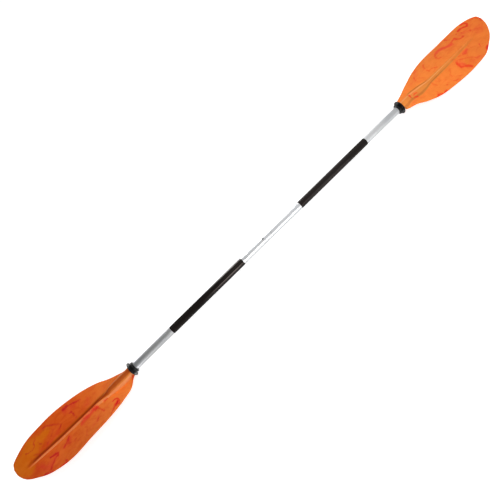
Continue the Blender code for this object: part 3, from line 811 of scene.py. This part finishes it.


# %% [markdown]
# ## Marbling
# The blade is moulded from orange plastic with a little red and ochre that never fully mixes, so it
# stays as curls and clouds. A pure noise would put them anywhere, so the main ones are listed here.
# Each stroke is a strength, a width and a short line, in millimetres from the socket's mouth. A stroke's
# nearness becomes an attribute of the mesh. The grid is first bent a little by a smooth noise, so that no
# stroke stays straight. The face that the picture doesn't show gets its strokes from the other end.

# %% Strokes and clouds of the power face, seen on the left blade
POWER_CURLS = [
    (1.0, 2.6, [(103, -37), (98, -34), (90, -38), (84, -46), (83, -58), (87, -62)]),
    (1.25, 5.5, [(91, -50), (96, -53)]),
    (0.7, 2.2, [(98, -53), (108, -62), (119, -71)]),
    (0.8, 2.5, [(64, -66), (70, -66)]),
    (0.7, 4.0, [(159, -9), (170, -14)]),
    (0.6, 3.0, [(161, -11), (151, -26), (142, -39)]),
    (0.6, 2.5, [(169, -46), (172, -53)]),
    (0.4, 2.5, [(171, -60), (171, -69)]),
    (0.45, 3.0, [(218, -49), (226, -58), (217, -75)]),
    (0.35, 2.5, [(263, -54), (251, -60), (248, -73)]),
    (0.85, 3.5, [(286, -17), (294, -23)]),
    (0.7, 3.0, [(294, -23), (305, -30), (312, -33)]),
    (0.45, 3.0, [(266, -41), (283, -38), (296, -30)]),
    (0.95, 3.2, [(363, -28), (354, -29), (345, -31), (336, -37), (337, -44), (343, -43)]),
    (0.85, 3.5, [(350, -44), (355, -53), (363, -58), (366, -67)]),
    (1.1, 3.5, [(313, -83), (314, -82)]),
    (1.0, 4.0, [(336, -92), (326, -92), (316, -91)]),
    (0.7, 5.0, [(386, -71), (364, -81)]),
    (0.85, 4.0, [(260, 77), (241, 75)]),
    (0.75, 3.0, [(241, 75), (226, 69), (212, 64), (200, 61)]),
    (0.7, 3.0, [(252, 50), (244, 50), (240, 41), (241, 31)]),
    (0.5, 2.5, [(234, 22), (237, 19)]),
    (0.55, 3.0, [(352, 77), (334, 75), (315, 63), (301, 50), (293, 38), (303, 35)]),
    (0.35, 2.5, [(371, 71), (352, 71), (332, 62), (323, 51), (331, 40)]),
    (0.6, 2.2, [(391, 63), (401, 60), (400, 49), (410, 46), (422, 46), (438, 53)]),
    (0.45, 2.0, [(387, 51), (383, 44), (375, 39)]),
    (0.35, 4.0, [(321, 49), (333, 36), (353, 24), (369, 9)]),
    (0.35, 3.0, [(412, 24), (398, 15), (394, 3)]),
    (1.1, 4.0, [(5, -23), (8, -32)]),
    (0.5, 2.2, [(114, -11), (129, -10)]),
]
POWER_BLUSH = [
    (0.9, 7.0, [(160, -9), (179, -10), (205, -12), (228, -15)]),
    (0.4, 9.0, [(170, -40), (190, -55)]),
    (0.5, 8.0, [(280, -24), (310, -34)]),
    (0.7, 11.0, [(345, -38), (375, -58)]),
    (0.5, 12.0, [(385, -50), (400, -30)]),
    (0.5, 9.0, [(176, 47), (181, 29), (195, 33)]),
    (0.5, 10.0, [(225, 60), (262, 66)]),
    (0.4, 9.0, [(310, 30), (335, 20), (365, 8)]),
]
POWER_OCHRE = [(1.0, 352, 60, 28, 14), (0.9, 378, 54, 32, 20), (1.1, 420, 48, 40, 36)]
POWER_OCHRE += [(1.2, 465, 25, 40, 44), (0.8, 440, -14, 24, 22)]
POWER_OCHRE += [(0.3, 310, -62, 26, 14), (0.3, 120, 45, 26, 10)]

# %% Strokes and clouds of the back, seen on the right blade
BACK_CURLS = [
    (1.0, 3.9, [(429, 76), (436, 75), (443, 71), (442, 60), (430, 55), (421, 61), (410, 64), (397, 63)]),
    (0.5, 3.9, [(453, 66), (465, 64)]),
    (0.6, 5.2, [(473, 62), (483, 52), (488, 40), (486, 26)]),
    (0.7, 2.9, [(381, 59), (383, 59)]),
    (0.75, 3.2, [(342, 81), (345, 65)]),
    (0.4, 3.2, [(364, 74), (372, 65)]),
    (0.75, 4.2, [(334, 45), (345, 50), (358, 54), (355, 39), (362, 30), (377, 32)]),
    (0.5, 3.2, [(396, 46), (411, 39), (421, 29), (417, 22)]),
    (0.55, 5.2, [(259, 61), (244, 43), (243, 32), (254, 28)]),
    (0.5, 3.9, [(195, 61), (182, 51), (175, 38), (177, 22), (193, 18), (205, 7)]),
    (0.55, 2.1, [(131, 49), (118, 36), (112, 27), (126, 29), (136, 24), (141, 13)]),
    (0.75, 4.5, [(263, -35), (259, -48), (262, -62), (272, -71), (286, -84)]),
    (0.4, 3.9, [(287, -24), (302, -28), (317, -33)]),
    (0.4, 3.2, [(223, -34), (213, -47), (205, -60), (217, -70), (236, -83)]),
    (0.6, 2.6, [(196, -74), (209, -80), (218, -84)]),
    (0.4, 2.6, [(154, -28), (166, -39), (179, -50)]),
    (0.5, 2.6, [(137, -21), (140, -34), (145, -44)]),
    (0.6, 2.6, [(166, -69), (170, -70)]),
    (0.4, 3.2, [(267, -16), (269, -29), (280, -34), (300, -48), (316, -58), (326, -76), (344, -76)]),
    (0.6, 3.2, [(385, -39), (377, -49)]),
    (1.6, 6.5, [(412, -68), (400, -71), (390, -74)]),
    (0.8, 3.9, [(111, -76), (114, -71), (125, -76), (138, -81), (153, -83)]),
    (0.5, 2.6, [(120, -59), (122, -63)]),
    (0.8, 3.1, [(46, -2), (41, -13)]),
    (0.7, 2.6, [(57, -14), (64, -10), (75, -14)]),
    (0.8, 2.6, [(52, -24), (58, -26)]),
    (0.5, 2.1, [(62, -4), (68, -18)]),
]
BACK_BLUSH = [
    (1.0, 7.5, [(329, 38), (315, 44), (300, 55), (283, 59), (267, 61)]),
    (0.81, 6.0, [(331, -25), (313, -28)]),
    (0.74, 9.0, [(266, -42), (270, -58)]),
    (0.47, 8.0, [(150, 60), (120, 34), (80, 30)]),
    (0.47, 9.0, [(380, 44), (410, 36)]),
    (0.41, 12.0, [(300, -70), (340, -80)]),
    (0.36, 22.0, [(415, 34), (455, 6)]),
]
BACK_OCHRE = [(0.4, 290, -62, 34, 16), (0.35, 225, 42, 36, 14)]
BACK_OCHRE += [(0.3, 205, -40, 26, 14), (0.3, 385, 55, 26, 12)]


# %% From strokes to attributes
BEND_SEED = 3


def bend(x, y):
    """The grid's places, moved by up to three millimetres by a smooth noise."""
    noise.seed_set(BEND_SEED)
    spots = [Vector((a * 45, b * 45, 3.7)) for a, b in zip(x.ravel(), y.ravel())]
    coarse = np.array([noise.noise_vector(spot) for spot in spots])[:, :2] * 0.0045
    fine = np.array([noise.noise_vector(spot * 3.3) for spot in spots])[:, :2] * 0.0013
    moved = (coarse + fine).T.reshape(2, *x.shape)
    return x + moved[0], y + moved[1]


def stroke_field(x, y, strokes):
    """How near each point is to a stroke: its strength on the line, none beyond twice its width."""
    result = np.zeros(x.shape)
    for strength, width, line in strokes:
        line = np.array(line) / 1000
        near = np.full(x.shape, 1.0)
        for (x0, y0), (x1, y1) in zip(line, line[1:]):
            dx, dy = x1 - x0, y1 - y0
            share = np.clip(((x - x0) * dx + (y - y0) * dy) / (dx * dx + dy * dy), 0, 1)
            near = np.minimum(near, np.hypot(x - x0 - share * dx, y - y0 - share * dy))
        result = np.maximum(result, strength * np.clip(1 - near / (2 * width / 1000), 0, 1))
    return result


def cloud_field(x, y, clouds):
    """Soft round patches: (strength, x, y, half length, half width) in millimetres."""
    result = np.zeros(x.shape)
    for strength, cx, cy, rx, ry in clouds:
        spread = ((x - cx / 1000) / (rx / 1000)) ** 2 + ((y - cy / 1000) / (ry / 1000)) ** 2
        result = np.maximum(result, strength * np.exp(-spread * 0.9))
    return result


# %% [markdown]
# ## The plastic
# The material starts from the light orange, deepens it where the attribute says so, and lays ochre,
# painted shade, a painted highlight, blush and red over it. The painted shade and highlight lie along
# the rib and the channel. Distorted noise frays every border and draws faint flow marks in the plain
# areas. Where a curl is at its densest the red turns to crimson.

# %% The marbled plastic
plastic = Recipe("marbled_plastic")
swirl = plastic.noise(24, detail=4.0, stretch=(0.7, 1, 1), distortion=1.8)
fray = plastic.noise(95, detail=3.0, distortion=1.5)
flow = plastic.noise(34, detail=3.0, stretch=(0.5, 1, 1), distortion=3.0)
unevenness = plastic.sum(*(plastic.spread(pattern, 0.25, 0.75, -0.1, 0.1) for pattern in (swirl, fray)))


def frayed(name, low, high, share=1.0):
    """An attribute of the blade, its border broken up by the noises."""
    shaken = plastic.sum(unevenness, share, "MULTIPLY")
    return plastic.spread(plastic.sum(plastic.attribute(name), shaken), low, high, 0.0, 1.0)


deep = plastic.sum(plastic.attribute("deep"), plastic.spread(swirl, 0.3, 0.7, -0.09, 0.09))
colour = plastic.blend(deep, srgb(250, 136, 56), srgb(210, 74, 6))
streaks = plastic.spread(flow, 0.48, 0.64, 0.0, 0.4)
colour = plastic.blend(streaks, colour, plastic.blend(deep, srgb(244, 104, 44), srgb(200, 58, 6)))
ochre = plastic.blend(deep, srgb(240, 138, 44), srgb(214, 100, 0))
colour = plastic.blend(frayed("ochre", 0.2, 0.8, 1.5), colour, ochre)
# Painted shade: two darker oranges over the socket, the rib's upper flank, the channel and the crown's step.
light_painted_shade = plastic.blend(deep, srgb(228, 140, 62), srgb(194, 82, 4))
dark_painted_shade = plastic.blend(deep, srgb(196, 100, 40), srgb(158, 52, 0))
colour = plastic.blend(plastic.spread(plastic.attribute("painted_shade"), 0.0, 0.5), colour, light_painted_shade)
colour = plastic.blend(plastic.spread(plastic.attribute("painted_shade"), 0.4, 1.0), colour, dark_painted_shade)
# Painted highlight: a pale orange line on the rib's lower flank and the channel's upper wall.
colour = plastic.blend(plastic.spread(plastic.attribute("painted_highlight"), 0.0, 1.0), colour, srgb(248, 172, 112))
redness = plastic.blend(deep, srgb(246, 86, 50), srgb(212, 48, 34))
colour = plastic.blend(frayed("blush", 0.05, 0.95), colour, redness)
crimson = plastic.blend(deep, srgb(244, 62, 30), srgb(186, 20, 28))
colour = plastic.blend(frayed("curl", 0.05, 0.85), colour, crimson)
colour = plastic.blend(plastic.spread(plastic.attribute("curl"), 0.85, 1.2), colour, srgb(206, 10, 34))
plastic.shade("Base Color", colour)
plastic.shade("Roughness", plastic.spread(plastic.sum(fray, swirl), 0.7, 1.3, 0.36, 0.46))
plastic.shade("Specular IOR Level", 0.1)
plastic.bump(plastic.noise(650, detail=3.0), 0.06, 0.0002)
print(f"{plastic.material.name}: {len(plastic.tree.nodes)} nodes")


# %% [markdown]
# ## Build the two blades
# Each blade is the same grid. The right one lies back up. The left one is turned half a turn about the
# Y axis. The socket's end face is filled between the outer loop and the round bore, and the bore is a
# short tube with a flat bottom, which hides the shaft's end.

# %% One blade as a mesh
BORE_FACETS = 96
MARBLING_AND_PAINTED_LIGHT_KEYS = ("curl", "blush", "ochre", "deep", "painted_shade", "painted_highlight")


def blade_mesh(name, turned_over):
    """Closed mesh of one blade in place, with its marbling and its painted light as attributes."""
    rows, columns = grid_x.shape
    bm = bmesh.new()
    layers = {key: bm.verts.layers.float.new(key) for key in MARBLING_AND_PAINTED_LIGHT_KEYS}
    values = blade_marbling_and_painted_light(turned_over)

    def spot(x, y, z):
        if turned_over:
            return (-SOCKET_MOUTH - x, y, AXIS_HEIGHT - z)
        return (SOCKET_MOUTH + x, y, AXIS_HEIGHT + z)

    def vertex(r, c, z, face):
        vert = bm.verts.new(spot(grid_x[r, c], grid_y[r, c], z))
        for key, layer in layers.items():
            vert[layer] = float(values[face][key][r, c])
        return vert

    loops = []
    for r in range(rows):
        back = [vertex(r, c, back_z[r, c], "back") for c in range(columns)]
        power = [vertex(r, c, power_z[r, c], "power") for c in range(1, columns - 1)]
        loops.append(back + power[::-1])
    for loop, following in zip(loops, loops[1:]):
        for k in range(len(loop)):
            n = (k + 1) % len(loop)
            bm.faces.new((loop[k], following[k], following[n], loop[n]))
    tip_z = float((back_z[-1] + power_z[-1]).mean()) / 2
    tip = bm.verts.new(spot(TIP_POINT * BLADE_LENGTH, TIP[1] * HALF_WIDTH, tip_z))
    for layer in layers.values():
        tip[layer] = loops[-1][0][layer]
    for k in range(len(loops[-1])):
        bm.faces.new((loops[-1][k], tip, loops[-1][(k + 1) % len(loops[-1])]))
    turns = np.linspace(0, 2 * math.pi, BORE_FACETS, endpoint=False)
    circles = []
    for depth in (0.0, SOCKET_DEPTH + GAP):
        ring = [spot(depth, BORE_R * math.cos(a), BORE_R * math.sin(a)) for a in turns]
        circles.append([bm.verts.new(point) for point in ring])
    for k in range(BORE_FACETS):
        n = (k + 1) % BORE_FACETS
        bm.faces.new((circles[0][k], circles[0][n], circles[1][n], circles[1][k]))
    bm.faces.new(circles[1])
    mouth = [bm.edges.get((loops[0][k], loops[0][k - 1])) for k in range(len(loops[0]))]
    mouth += [bm.edges.get((circles[0][k], circles[0][k - 1])) for k in range(BORE_FACETS)]
    bmesh.ops.triangle_fill(bm, use_beauty=True, edges=mouth)
    bmesh.ops.recalc_face_normals(bm, faces=bm.faces)
    open_edges = sum(not edge.is_manifold for edge in bm.edges)
    mesh = bpy.data.meshes.new(name)
    bm.to_mesh(mesh)
    bm.free()
    volume = face_outwards(mesh)
    print(f"{name}: {len(mesh.polygons)} faces, {open_edges} open edges, {volume * 1e6:.1f} cubic cm")
    return mesh


# %% [markdown]
# The deeper orange of a blade changes slowly along and across it. The left blade took more of the red
# pigment than the right one.


# %% Marbling and painted light of each blade
bent_x, bent_y = bend(grid_x, grid_y)
FACES = {"power": (POWER_CURLS, POWER_BLUSH, POWER_OCHRE), "back": (BACK_CURLS, BACK_BLUSH, BACK_OCHRE)}
DEEP_LEFT = [(0, 0.25), (0.09, 0.36), (0.17, 0.66), (0.25, 0.82), (0.5, 0.92)]
DEEP_RIGHT = [(0, 0.02), (0.13, 0.06), (0.26, 0.12), (0.39, 0.2), (0.5, 0.25)]


def hump(value, low, high, soft):
    """1 between low and high, falling smoothly to 0 over a soft border."""
    return smoothstep(value, low - soft, low) * (1 - smoothstep(value, high, high + soft))


def back_painted_light():
    """Painted shade in and around the back's channel and at the crown's step, and a painted highlight on its
    upper wall.
    """
    beside = (grid_y - read_table(CHANNEL, 3, grid_x)) / read_table(CHANNEL, 1, grid_x)
    reach = 1 - 0.45 * smoothstep(grid_x, 0.16, 0.30) - 0.55 * smoothstep(grid_x, 0.34, 0.43)
    narrow = smoothstep(grid_x, 0.11, 0.17)
    # Painted shade: the channel's floor, its lower wall, a line past its upper edge and the crown's step.
    channel_floor_shade = (0.34 + 0.1 * narrow) * hump(beside, -0.95, 0.85, 0.15)
    low_wall = hump(beside, -1.15, -0.75 + 0.3 * narrow, 0.35) * 0.72
    outside = hump(beside, 1.0, 1.12, 0.16) * (0.85 - 0.3 * narrow) * smoothstep(grid_x, 0.035, 0.05)
    step = hump(grid_x, 0.041, 0.044, 0.003) * hump(beside, -0.9, 0.9, 0.1) * 0.75
    # Painted highlight: a pale line along the channel's upper wall.
    painted_highlight = hump(beside, 0.55, 0.75, 0.16) * reach * 0.5
    return np.maximum.reduce([channel_floor_shade, low_wall, outside, step]) * reach, painted_highlight


def power_painted_light():
    """Painted shade on the socket and the rib's upper flank, and a painted highlight on the rib's lower
    flank.
    """
    beside = grid_y / (read_table(RIB, 1, grid_x) * SOCKET_HALF_WIDTH)
    socket = 1 - smoothstep(grid_x, 0.10, 0.16)
    reach = 1 - smoothstep(grid_x, 0.40, 0.46)
    rise = smoothstep(beside, -0.1 - 0.86 * socket, 0.3 - 0.75 * socket)
    fall = 1 - smoothstep(beside, 1.2, 3.2 - 1.6 * socket)
    # Painted shade on the socket and along the rib's upper flank.
    painted_shade = rise * fall * reach * (0.95 - socket * (0.1 + 0.5 * smoothstep(beside, -0.1, 0.6)))
    # Painted highlight: a pale line along the rib's lower flank.
    painted_highlight = hump(beside, -1.0 + 0.04 * socket, -0.3 - 0.55 * socket, 0.25 - 0.12 * socket)
    return painted_shade, painted_highlight * reach * (0.45 + 0.3 * socket)


def blade_marbling_and_painted_light(turned_over):
    """The attributes of each face of a blade."""
    deep = read_table(DEEP_LEFT if turned_over else DEEP_RIGHT, 1, grid_x)
    if turned_over:
        deep = deep - 0.2 * smoothstep(-grid_y, 0.0, 0.01) * (1 - smoothstep(grid_x, 0.31, 0.43))
    fields = {}
    for face, (curls, blush, ochre) in FACES.items():
        shown = face == ("power" if turned_over else "back")
        at = bent_x if shown else 0.45 - bent_x
        marks = {"curl": stroke_field(at, bent_y, curls), "blush": stroke_field(at, bent_y, blush)}
        marks["ochre"] = cloud_field(at, bent_y, ochre)
        # The painted shade and painted highlight of this face.
        marks["painted_shade"], marks["painted_highlight"] = back_painted_light() if face == "back" else power_painted_light()
        # On the power face the painted shade also deepens the orange.
        marks["deep"] = deep + (0.6 * marks["painted_shade"] if face == "power" else 0.0)
        fields[face] = marks
    return fields


blades = {}
for side, turned_over in (("left", True), ("right", False)):
    mesh = blade_mesh(f"blade_{side}", turned_over)
    mesh.materials.append(plastic.material)
    soften(mesh, 40)
    blades[side] = bpy.data.objects.new(f"blade_{side}", mesh)
    scene.collection.objects.link(blades[side])

# %% [markdown]
# ## Join the pieces to the frame
# Each finer piece takes the place of one part of the drawing and moves with that part's body: the
# halves turn against each other, the button slides in, and the rings slide along the shaft. The parts
# that stay hidden inside keep their drawn shape and only get their finish.

# %% Each piece on its body
for side in ("left", "right"):
    half = f"{side}_half"
    for piece, node, body, slot in (
        (blades[side], f"{side}_blade", half, "blade_plastic"),
        ({"left": left_tube, "right": right_tube}[side], f"{side}_shaft_tube", half, "alloy"),
        (grips[side], f"{side}_grip_sleeve", half, "sleeve"),
        (rings[side], f"{side}_drip_ring", f"{side}_ring", "rubber"),
    ):
        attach(piece, body)
        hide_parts(node)
for piece, node, body in ((button, "snap_button", "button"), (rivet, "ferrule_rivet", "right_half")):
    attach(piece, body)
    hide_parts(node)

# %% Finishes of the parts inside
inside = {"ferrule_sleeve": alloy, "button_spring": steel, "ferrule_plug": nylon}
inside |= {f"{side}_{spot}_plug": foam for spot in ("joint", "end") for side in ("left", "right")}
for node, finish in inside.items():
    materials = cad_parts[node].data.materials
    materials.clear()
    materials.append(finish.material)
